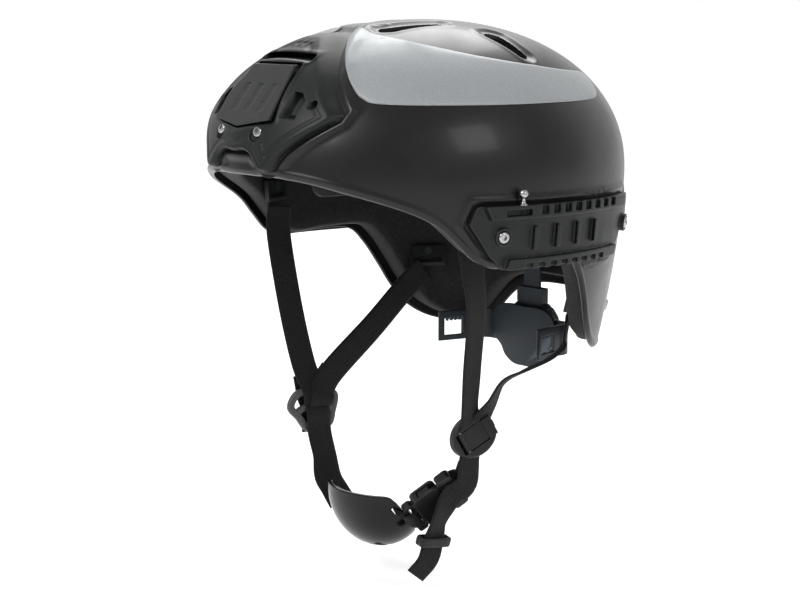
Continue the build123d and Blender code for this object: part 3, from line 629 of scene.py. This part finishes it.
def make_panel(name, side):
    """Thin film that follows the shell between two edges, each (angle, height)."""
    along, across = 150, 26
    low, high = smooth_line(PANEL_LOW, along), smooth_line(PANEL_HIGH, along)
    t = np.linspace(0, 1, across)[None, :, None]
    grid = low[:, None] * (1 - t) + high[:, None] * t
    base = on_form(np.radians(grid[..., 0]), np.minimum(grid[..., 1], DOME_HEIGHT - 1))
    normal = normals(base)
    lift = shell_relief(base)
    edge = np.minimum(t[..., 0], 1 - t[..., 0]) * across
    crown = FILM_CROWN * np.clip(edge / 1.2, 0, 1)
    top = base + normal * (lift + FILM_HIGH + crown)[..., None]
    under = base + normal * (lift + FILM_LOW)[..., None]
    top[..., 0] *= side
    under[..., 0] *= side
    vertices = np.vstack([top.reshape(-1, 3), under.reshape(-1, 3)])
    total = along * across
    faces = []
    for i in range(along - 1):
        for j in range(across - 1):
            a = i * across + j
            quad = [a, a + 1, a + across + 1, a + across]
            faces += [quad if side < 0 else quad[::-1],
                      [v + total for v in (quad[::-1] if side < 0 else quad)]]
    ring = [i * across for i in range(along)]
    ring += [(along - 1) * across + j for j in range(1, across)]
    ring += [i * across + across - 1 for i in range(along - 2, -1, -1)]
    ring += [j for j in range(across - 2, 0, -1)]
    for a, b in zip(ring, ring[1:] + ring[:1]):
        quad = [a, b, b + total, a + total]
        faces.append(quad if side < 0 else quad[::-1])
    piece(f"{name}_film", vertices, faces, [name])


make_panel("reflective_panel_left", 1)
make_panel("reflective_panel_right", -1)


# ---- straps ----
WEB_WIDE = 17.6
WEB_THICK = 1.7
WEB_WAVER = 0.25            # how far a strap wavers off its path
STATION_PITCH = 1.6         # spacing of a strap's cross sections
UV_ACROSS = 0.42            # weave repeats for each millimetre
UV_ALONG = 0.30


def strap(name, nodes, path, across, width, thick=WEB_THICK, slot="webbing", waver=WEB_WAVER):
    """Webbing along a smooth path; across gives its width direction at each path point."""
    length = sum(np.linalg.norm(np.subtract(b, a)) for a, b in zip(path, path[1:]))
    count = max(12, int(length / STATION_PITCH))
    both = smooth_line([(*p, *s) for p, s in zip(path, across)], count)
    line, side = both[:, :3], both[:, 3:]
    run = np.gradient(line, axis=0)
    run /= np.linalg.norm(run, axis=1, keepdims=True)
    side -= run * (side * run).sum(1, keepdims=True)
    side /= np.linalg.norm(side, axis=1, keepdims=True)
    face = np.cross(run, side)
    stations = np.linspace(0, 1, count)
    wave = waver * np.sin(stations * 9 + len(name)) * np.sin(stations * math.pi)
    profile = []
    for s in np.linspace(-1, 1, 17):
        crown = 1 - 0.55 * abs(s) ** 8
        rib = 0.06 * math.cos(s * math.pi * 5)
        profile.append((s * width / 2, thick / 2 * crown + rib))
    loop = profile + [(x, -y) for x, y in reversed(profile)]
    rings = []
    for i in range(count):
        rings.append([line[i] + side[i] * x + face[i] * (y + wave[i]) for x, y in loop])
    per = len(loop)
    vertices = np.array(rings).reshape(-1, 3)
    travelled = np.concatenate([[0], np.cumsum(np.linalg.norm(np.diff(line, axis=0), axis=1))])
    uv = [(x * UV_ACROSS, travelled[i] * UV_ALONG) for i in range(count) for x, _ in loop]
    return piece(name, vertices, tube_faces(count, per), nodes, slot, uv)


FORE = np.array([0.0, 1.0, 0.0])        # width along the helmet
FLARED = (-0.76, 0.63, -0.16)           # width turned outward behind the ear
STRAPS = {                              # path, width direction at each point, width
    "strap_front_right": ([(-71, -64, -23), (-71, -65, -40), (-65.5, -62, -78), (-57.5, -57.5, -118),
                           (-52.6, -54.5, -132), (-50.2, -53.6, -138), (-51, -53, -143.6),
                           (-54, -53, -145), (-56.2, -54, -140.5), (-57.8, -56, -126)],
                          [FORE] * 10, WEB_WIDE),
    "strap_rear_right": ([(-64, 46, -71), (-67, 32, -83), (-63, 2, -104), (-55.8, -34, -125.5),
                          (-51.6, -45.5, -134), (-48.6, -48.5, -139), (-49.6, -49.6, -145),
                          (-54, -49.6, -147), (-58, -47.6, -141), (-60.5, -34, -128)],
                         [(0, 1, -1), (0, 1, -1), (0, 1, -1), (0, 1, -0.75), (0, 1, -0.45),
                          (0, 1, -0.2), (0, 1, -0.1), (0, 1, -0.1), (0, 1, -0.3), (0, 1, -0.8)],
                         WEB_WIDE),
    "strap_front_left": ([(77, -44, -23), (78, -42, -40), (75, -35, -72), (66.8, -30.5, -112),
                          (62.8, -28.5, -133), (61.2, -26, -142)],
                         [FORE, FORE, (-0.2, 1, 0), (-0.25, 1, 0), (-0.3, 1, 0), (-0.1, 1, 0)],
                        WEB_WIDE),
    "strap_rear_left": ([(57.8, 55.2, -86), (56.8, 54.8, -98), (57.5, 50, -106.5), (62, 36, -110.5),
                         (65, 14, -114.5), (65, -4, -120), (64, -13, -132), (61.6, -20.5, -142)],
                        [(-0.62, 0.78, 0), (-0.62, 0.78, 0), (-0.7, 0.7, -0.05), FLARED, FLARED,
                         (-0.62, 0.74, -0.26), (-0.42, 0.82, -0.36), (0, 0.9, -0.4)], 15.0),
    "chin_strap_right": ([(-54.8, -51.5, -162), (-56.2, -51.6, -153), (-54.8, -51.8, -146.2),
                          (-51.4, -51.8, -145.4), (-49.5, -51.8, -150), (-50.2, -50.6, -162),
                          (-46.8, -49, -177), (-41.5, -51, -188.5), (-36, -50.5, -195),
                          (-30.5, -48.5, -203)],
                         [FORE] * 7 + [(0.2, 1, 0.1), (0.2, 1, 0.1), (0.3, 1, 0.1)], WEB_WIDE),
}
for strap_name, (strap_path, strap_across, strap_width) in STRAPS.items():
    strap(f"{strap_name}_webbing", [strap_name], strap_path, strap_across, strap_width)

# The buckle's own axes, as the CAD part has them: along it, across it and out from its face.
BUCKLE_AT = np.array([42.5, -39.1, -190.2])
BUCKLE_X = np.array([0.485, 0.634, 0.597]) / np.linalg.norm([0.485, 0.634, 0.597])
BUCKLE_Z = np.array([0.871, -0.341, -0.348])
BUCKLE_Z = BUCKLE_Z - BUCKLE_X * BUCKLE_Z.dot(BUCKLE_X)
BUCKLE_Z /= np.linalg.norm(BUCKLE_Z)
BUCKLE_Y = np.cross(BUCKLE_Z, BUCKLE_X)


def on_buckle(x, y, z):
    """Point given along, across and out from the buckle's face."""
    return tuple(BUCKLE_AT + BUCKLE_X * x + BUCKLE_Y * y + BUCKLE_Z * z)


def finish_chin_straps():
    """Webbing from the divider round the tongue's bar, the tail, and the short piece to the cup."""
    across = tuple(-BUCKLE_Y)
    adjuster = strap("adjuster_webbing", ["adjuster_strap"],
                     [(60, -23, -154), (58.6, -24.5, -162), on_buckle(24, 0, 3.4),
                      on_buckle(17.5, 0, 5.4), on_buckle(13.9, 0, 3.2), on_buckle(13.7, 0, -3.6),
                      on_buckle(17.5, 0, -5.6), on_buckle(25, 0, -3.2), (56.8, -23.5, -163)],
                     [FORE, FORE] + [across] * 6 + [FORE], 15.6, 1.6)
    adjuster.parent = None
    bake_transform(adjuster)
    strap("tail_webbing", ["strap_tail"],
          [on_buckle(15, 0, 4.9), on_buckle(9, 0, 7.2), (51.6, -42, -199), (49.6, -43.9, -209),
           (47, -46, -222), (43.4, -53, -231.4)],
          [across, across, (-0.2, 1, 0), (0.02, 1, 0), (0.12, 1, 0), (0.12, 1, 0)], 15.6)
    strap("chin_left_webbing", ["chin_strap_left"],
          [on_buckle(-11.5, 0, -3.4), on_buckle(-12, 0, 3.2), on_buckle(-14.5, 0, 3.4),
           (34.6, -52.6, -199.4), (31.6, -54.2, -197), (27, -50, -195.5)],
          [across, across, across, (0, 1, -0.8), (0, 1, -0.6), (0, 1, -0.6)], 12.0, 1.6)


finish_chin_straps()


# ---- triangular slider and the tail's keeper: smooth closed bars ----
BAR_STATIONS = 160
BAR_SQUARENESS = 3.0        # 2 gives an oval section


def closed_bar(name, nodes, points, normal, wide, deep):
    """Bar of rounded section along a closed smooth line that lies flat across its normal."""
    count = BAR_STATIONS
    ring = smooth_line([*points, *points, points[0]], 2 * count)
    middle = len(ring) // 4
    line = ring[middle:middle + count]
    run = np.roll(line, -1, 0) - np.roll(line, 1, 0)
    run /= np.linalg.norm(run, axis=1, keepdims=True)
    normal = np.array(normal, float) / np.linalg.norm(normal)
    side = np.cross(run, normal)
    turns = np.linspace(0, 2 * math.pi, 24, endpoint=False)
    power = 2 / BAR_SQUARENESS
    u = wide / 2 * np.sign(np.cos(turns)) * np.abs(np.cos(turns)) ** power
    v = deep / 2 * np.sign(np.sin(turns)) * np.abs(np.sin(turns)) ** power
    vertices = (line[:, None] + side[:, None] * u[None, :, None] + normal * v[None, :, None])
    per = len(turns)
    faces = [[i * per + j, i * per + (j + 1) % per,
              (i + 1) % count * per + (j + 1) % per, (i + 1) % count * per + j]
             for i in range(count) for j in range(per)]
    return piece(name, vertices.reshape(-1, 3), faces, nodes)


SLIDER = [(-53, -70.4, -144.4), (-53, -64.4, -136.8), (-53, -51, -137.8), (-53, -38.8, -139.6),
          (-53, -36.6, -143.6), (-53, -38.6, -151), (-53, -41, -158), (-53, -49, -160.2),
          (-53, -57.6, -159.6), (-53, -64.6, -151.5)]
closed_bar("slider_moulding", ["triangle_slider"], SLIDER, (1, 0, 0), 4.6, 3.8)

KEEPER_AT = np.array([49.2, -44.0, -210.6])
KEEPER_LOOP = [(-10, 0), (-9.3, 2.7), (0, 3), (9.3, 2.7), (10, 0), (9.3, -2.7), (0, -3), (-9.3, -2.7)]
TAIL_RUN = np.array([-0.2, -0.15, -0.97])
TAIL_WIDE = np.array([0.02, 1.0, -0.16])
TAIL_FACE = np.cross(TAIL_RUN, TAIL_WIDE)
closed_bar("keeper_moulding", ["strap_keeper"],
           [KEEPER_AT + TAIL_WIDE * u + TAIL_FACE * v for u, v in KEEPER_LOOP], TAIL_RUN, 1.9, 5.6)
strap("slider_arch", ["triangle_slider"],
      [(-53, -67.5, -150.5), (-52.6, -62, -146.6), (-52.4, -52.5, -146), (-52.6, -43, -147),
       (-53, -38, -150.5)],
      [(0, 0.6, -1), (0, 0.3, -1), (0, 0, -1), (0, -0.3, -1), (0, -0.6, -1)], 4.2, 3.2,
      slot="slider", waver=0)


# ---- front shroud: one contoured skin with rounded edges, pockets and holes ----
PLATE_HALF = [(0, 65), (19, 65), (25, 36), (0, 32)]
PLATE = PLATE_HALF + [(-x, z) for x, z in reversed(PLATE_HALF) if x > 0]
WINDOW = [(29, 38), (29, 51), (34, 50), (38, 46), (37, 37)]
SHROUD_THICK = 6.0
SHROUD_INSET = 3.0          # how far the moulding stops inside its outline
SHROUD_SKIN = 0.15          # thickness at its very edge
SHROUD_ROUND = 2.6          # radius of its outer edge
FLOOR_WINDOW = 0.9          # heights left at the bottom of its windows and holes
FLOOR_HOLE = 0.4


def front_point(x, z, offset):
    """Point on the form's front at a width and height."""
    s = np.maximum(share(z, offset), 0.02)
    inside = np.clip(1 - (x / ((HALF_WIDTH + offset) * s)) ** 2, 0, 1)
    return np.stack([x, FORM_Y - (HALF_LENGTH + offset) * s * np.sqrt(inside), z], -1)


def step_down(d, width):
    """1 inside an outline and 0 outside, with a soft edge."""
    return 0.5 - 0.5 * np.sin(np.clip(d / width, -1, 1) * math.pi / 2)


def shroud_height(x, z, edge):
    """Height of the shroud's face above the shell."""
    edge = edge - SHROUD_INSET
    rounded = np.clip(edge / SHROUD_ROUND, 0, 1)
    height = SHROUD_SKIN + (SHROUD_THICK - SHROUD_SKIN) * np.sqrt(1 - (1 - rounded) ** 2)
    groove = bump(edge, 5.6, 1.1, 0.4)
    height -= groove
    ax = np.abs(x)
    pocket = outline_distance(x, z, PLATE)
    height -= 2.3 * step_down(pocket - 0.7, 0.7)
    height += bump(pocket, 2.6, 0.9, 0.5) * (edge > 6)
    low = np.minimum(height, FLOOR_WINDOW)
    window = step_down(outline_distance(ax, z, WINDOW), 0.7)
    height = height + (low - height) * window
    slot = np.hypot(np.maximum(ax - 21, 0), z - 69.8 + 0.0024 * x ** 2) - 1.5
    height = height + (np.minimum(height, FLOOR_HOLE) - height) * step_down(slot, 0.6)
    height += bump(slot, 1.4, 0.8, 0.45)
    hole = np.hypot(ax - 43, z - 44.5) - 2.0
    height = height + (np.minimum(height, FLOOR_HOLE) - height) * step_down(hole, 0.5)
    bore = np.hypot(ax - 16, z - 28) - 3.9
    height -= 2.1 * step_down(bore, 0.4)
    rib = np.maximum(np.abs(np.abs(ax - 3) - 3) - 1.0, np.abs(z - 76.4) - 1.2)
    height += 0.45 * step_down(rib, 0.6)
    return height


def make_shroud():
    """Skin over the shroud's outline, in rings from its middle to its edge."""
    around, rings = 460, 150
    line = smooth_line(SHROUD + [SHROUD[0]], around + 1)[:-1]
    centre = np.array([0.0, 45.0])
    outward = np.linspace(0, 1, rings)[None, :, None]
    grid = centre + (line[:, None] - centre) * outward
    x, z = grid[..., 0], grid[..., 1]
    edge = -outline_distance(x, z, [tuple(p) for p in line[::3]])
    edge = np.maximum(edge, 0) * (outward[..., 0] < 1)
    top = front_point(x, z, shroud_height(x, z, edge))
    under = front_point(x, z, np.full(x.shape, 0.12))
    total = around * rings
    vertices = np.vstack([top.reshape(-1, 3), under.reshape(-1, 3)])
    faces = []
    for i in range(around):
        j = (i + 1) % around
        a, b = i * rings, j * rings
        faces += [[a + k, a + k + 1, b + k + 1, b + k] for k in range(rings - 1)]
        faces += [[total + b + k, total + b + k + 1, total + a + k + 1, total + a + k]
                  for k in range(rings - 1)]
        last = rings - 1
        faces.append([a + last, total + a + last, total + b + last, b + last])
    outward_faces(piece("shroud_moulding", vertices, faces, ["front_shroud"]), merge=0.00002)


make_shroud()


# ---- ball studs: a turned ball on a short flared neck ----
def turned(name, node, axis, profile):
    """Turned piece about a vertical line, from radius and height pairs."""
    count = 64
    line = smooth_line(profile, 60)
    turns = np.linspace(0, 2 * math.pi, count, endpoint=False)
    vertices = [(axis[0] + r * math.cos(a), axis[1] + r * math.sin(a), z)
                for r, z in line for a in turns]
    return piece(name, vertices, tube_faces(len(line), count), [node])


BALL_R = 2.7
BALL_Z = -4.2
BALL_PROFILE = [(2.3, -10.6), (2.3, -10.0), (1.7, -9.4), (1.15, -8.6), (1.1, -7.4)]
BALL_PROFILE += [(BALL_R * math.cos(a), BALL_Z + BALL_R * math.sin(a))
                 for a in np.linspace(-1.1, 1.5, 14)]
for side_name in ("left", "right"):
    low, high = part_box(f"ball_stud_{side_name}")
    middle = (low + high) / 2 / MM
    turned(f"ball_{side_name}_turned", f"ball_stud_{side_name}", (middle.x, middle.y), BALL_PROFILE)


# ---- cradle plate: soft-cornered plate ----
SLAB_ROUND = 0.9


def slab(name, nodes, outline, low, high):
    """Plate with a smooth outline in X and Z, between two Y values, with rounded edges."""
    line = smooth_line([*outline, outline[0]], 181)[:-1]
    run = np.roll(line, -1, 0) - np.roll(line, 1, 0)
    run /= np.linalg.norm(run, axis=1, keepdims=True)
    inward = np.stack([-run[:, 1], run[:, 0]], -1)
    centre = line.mean(0)
    inward *= np.sign(((centre - line) * inward).sum(1).mean())
    rings = []
    for a in np.linspace(0, math.pi / 2, 6):
        rings.append((SLAB_ROUND * (1 - math.sin(a)), low + SLAB_ROUND * (1 - math.cos(a))))
    rings += [(inset, high - (y - low)) for inset, y in reversed(rings)]
    vertices = []
    for inset, y in rings:
        flat = line + inward * inset
        vertices.append(np.stack([flat[:, 0], np.full(len(flat), y), flat[:, 1]], -1))
    outward_faces(piece(name, np.vstack(vertices), tube_faces(len(rings), len(line)), nodes))


PLATE_WING = [(0, -90.6), (12, -90.2), (22, -92), (27.4, -97.5), (28.2, -105), (26.6, -112.5),
              (20.5, -118), (16.5, -124), (9, -128.4), (0, -129)]
slab("cradle_moulding", ["cradle_plate"], PLATE_WING + [(-x, z) for x, z in PLATE_WING[-2:0:-1]],
     73.05, 75.6)


# ---- these keep their CAD shape, with softened edges ----
MOULDED = [                             # node, voxel in millimetres, rounds of smoothing
    ("shroud_plate", 0.3, 3), ("rail_left", 0.42, 2), ("rail_right", 0.42, 2), ("chin_cup", 0.4, 5),
    ("divider_body", 0.25, 5), ("divider_cam_lever", 0.22, 12), ("buckle_socket", 0.25, 4),
    ("buckle_tongue", 0.25, 4), ("buckle_prong_front", 0.2, 3), ("buckle_prong_rear", 0.2, 3),
    ("dial_housing", 0.3, 3), ("dial_knob", 0.3, 3), ("dial_pinion", 0.15, 2),
    ("band_arm_left", 0.25, 9), ("band_arm_right", 0.25, 9), ("cradle_hanger", 0.3, 3)]
PADS = ("pad_brow", "pad_left", "pad_right", "pad_rear", "pad_crown", "chin_cup_pad")
PAD_VOXEL = 0.8
PAD_ROUNDS = 8
for node, voxel, rounds in MOULDED:
    moulded(node, voxel, rounds)
for node in PADS:
    pad = moulded(node, PAD_VOXEL, PAD_ROUNDS)

# Every CAD node gets its material, seen on those that nothing replaces, such as the screws.
for node, obj in frame["nodes"].items():
    if len(obj.data.materials) == 0:
        obj.data.materials.append(None)
    for material_slot in obj.material_slots:
        material_slot.link = "OBJECT"
        material_slot.material = MATERIALS[SLOT[node]]


# ---- stage: pale sweep and soft studio light ----
FLOOR_GAP = 0.004           # metres from the helmet's lowest point down to the floor
SWEEP_AT = 2.2              # metres behind the helmet where the floor starts to turn up
SWEEP_R = 1.8
LIGHTS = [                  # name, place, size, power
    ("key", (0.2, -1.3, 1.2), 0.7, 14.0),
    ("side", (1.3, 0.2, 0.7), 0.5, 3.0),
    ("back", (-0.9, 0.9, 1.3), 1.0, 16.0)]


def make_stage():
    """Floor that sweeps up behind the helmet, a white world and three soft lights."""
    material, _, bsdf = shader("floor", (0.82, 0.82, 0.82), 0.9)
    bsdf.inputs["Specular IOR Level"].default_value = 0.1
    bsdf.inputs["Emission Color"].default_value = (1, 1, 1, 1)
    bsdf.inputs["Emission Strength"].default_value = 0.42
    low = start_box[0][2] - FLOOR_GAP
    away = Vector((-0.766, 0.643, 0))
    aside = Vector((0.643, 0.766, 0))
    profile = [(-9.0, 0.0), (SWEEP_AT, 0.0)]
    profile += [(SWEEP_AT + SWEEP_R * math.sin(a), SWEEP_R - SWEEP_R * math.cos(a))
                for a in np.linspace(0.1, math.pi / 2, 16)]
    profile.append((4.0, 7.0))
    vertices = [away * u + aside * w + Vector((0, 0, low + v))
                for w in (-12, 12) for u, v in profile]
    count = len(profile)
    mesh = bpy.data.meshes.new("floor")
    mesh.from_pydata([tuple(v) for v in vertices], [],
                     [(i, i + 1, i + 1 + count, i + count) for i in range(count - 1)])
    mesh.polygons.foreach_set("use_smooth", [True] * len(mesh.polygons))
    mesh.materials.append(material)
    floor = bpy.data.objects.new("floor", mesh)
    bpy.context.collection.objects.link(floor)
    world = bpy.data.worlds.new("studio")
    bpy.context.scene.world = world
    world.use_nodes = True
    background = world.node_tree.nodes["Background"]
    background.inputs["Color"].default_value = (1, 1, 1, 1)
    background.inputs["Strength"].default_value = 0.55
    for name, place, size, power in LIGHTS:
        data = bpy.data.lights.new(name, "AREA")
        data.energy = power
        data.size = size
        light = bpy.data.objects.new(name, data)
        bpy.context.collection.objects.link(light)
        light.location = place
        light.rotation_euler = (-Vector(place)).to_track_quat("-Z", "Y").to_euler()
    bpy.context.scene.view_settings.view_transform = "Standard"


make_stage()
